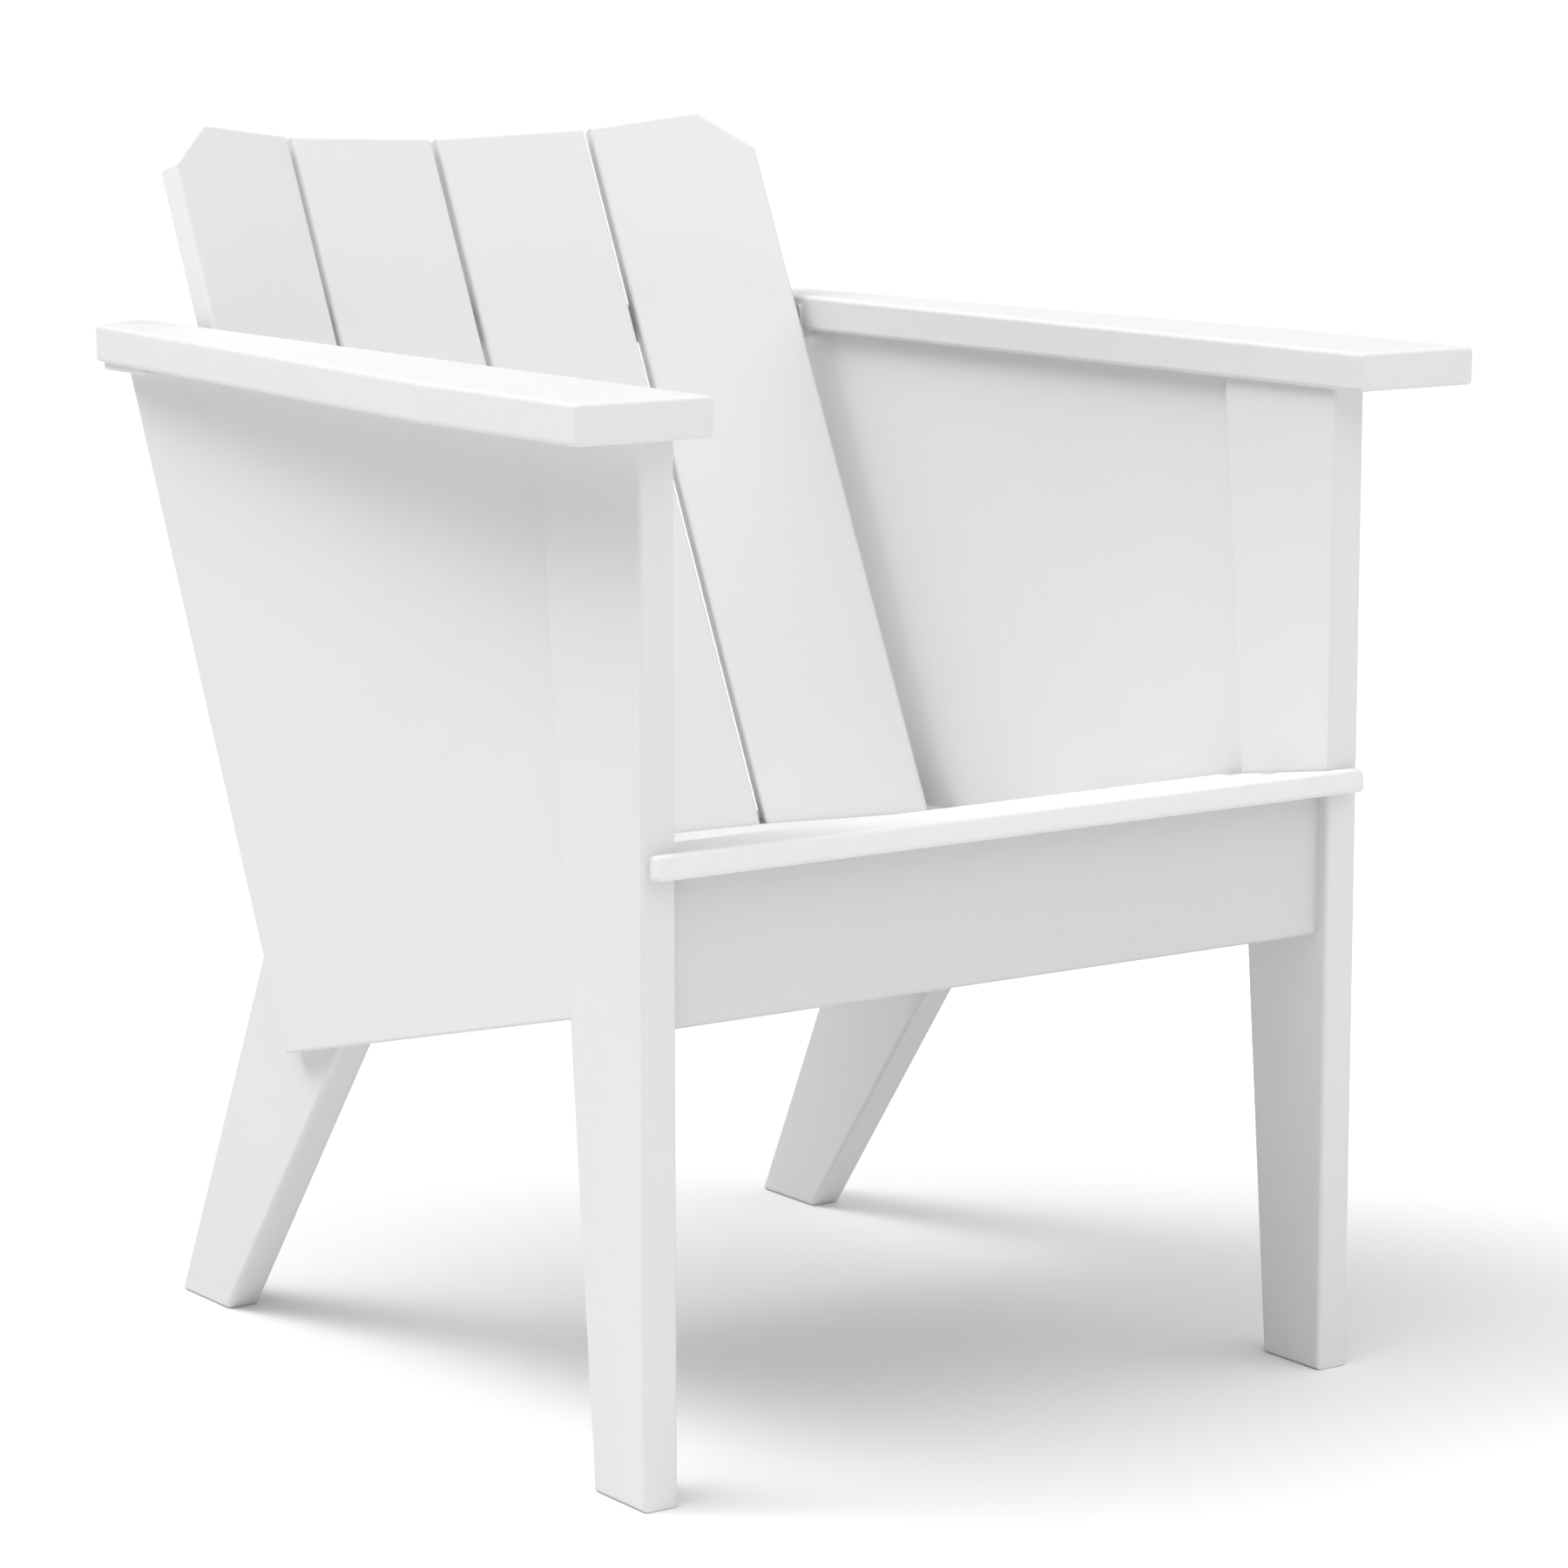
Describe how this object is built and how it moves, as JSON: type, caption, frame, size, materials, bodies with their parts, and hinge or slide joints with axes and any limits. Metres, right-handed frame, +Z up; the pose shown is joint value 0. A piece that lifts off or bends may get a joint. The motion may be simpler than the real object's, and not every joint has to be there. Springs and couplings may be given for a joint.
{
  "type": "adirondack chair",
  "caption": "Low garden lounge chair in flat white boards, with broad flat arms, solid side panels, a contoured seat and a leaning slatted back set in a shallow fan.",
  "frame": {"origin": "on the floor under the four feet, in the middle of the overall width and the overall depth", "axes": "+Z up, +X toward the sitter's left, -Y the way the sitter faces"},
  "size_m": [0.6994, 0.7435, 0.8209],
  "materials": {
    "frame_board": "satin white HDPE board, fine orange-peel skin, milled eased edges",
    "side_panel": "satin white HDPE sheet, fine orange-peel skin",
    "slat_board": "satin white HDPE slat, fine orange-peel skin, milled eased edges",
    "screw": "plain stainless steel"
  },
  "bodies": {
    "root": {"front_leg_left": "frame_board", "front_leg_right": "frame_board", "rear_leg_left": "frame_board", "rear_leg_right": "frame_board", "side_panel_left": "side_panel", "side_panel_right": "side_panel", "arm_left": "frame_board", "arm_right": "frame_board", "back_brace": "frame_board", "lower_back_rail": "frame_board", "outer_slat_left": "slat_board", "inner_slat_left": "slat_board", "inner_slat_right": "slat_board", "outer_slat_right": "slat_board", "seat_board_1": "slat_board", "seat_board_2": "slat_board", "seat_board_3": "slat_board", "seat_board_4": "slat_board", "seat_rail_left": "frame_board", "seat_rail_right": "frame_board", "apron": "frame_board", "seat_screws": "screw", "upper_back_screws": "screw", "lower_back_screws": "screw", "panel_screws_left": "screw", "panel_screws_right": "screw"}
  },
  "joints": []
}
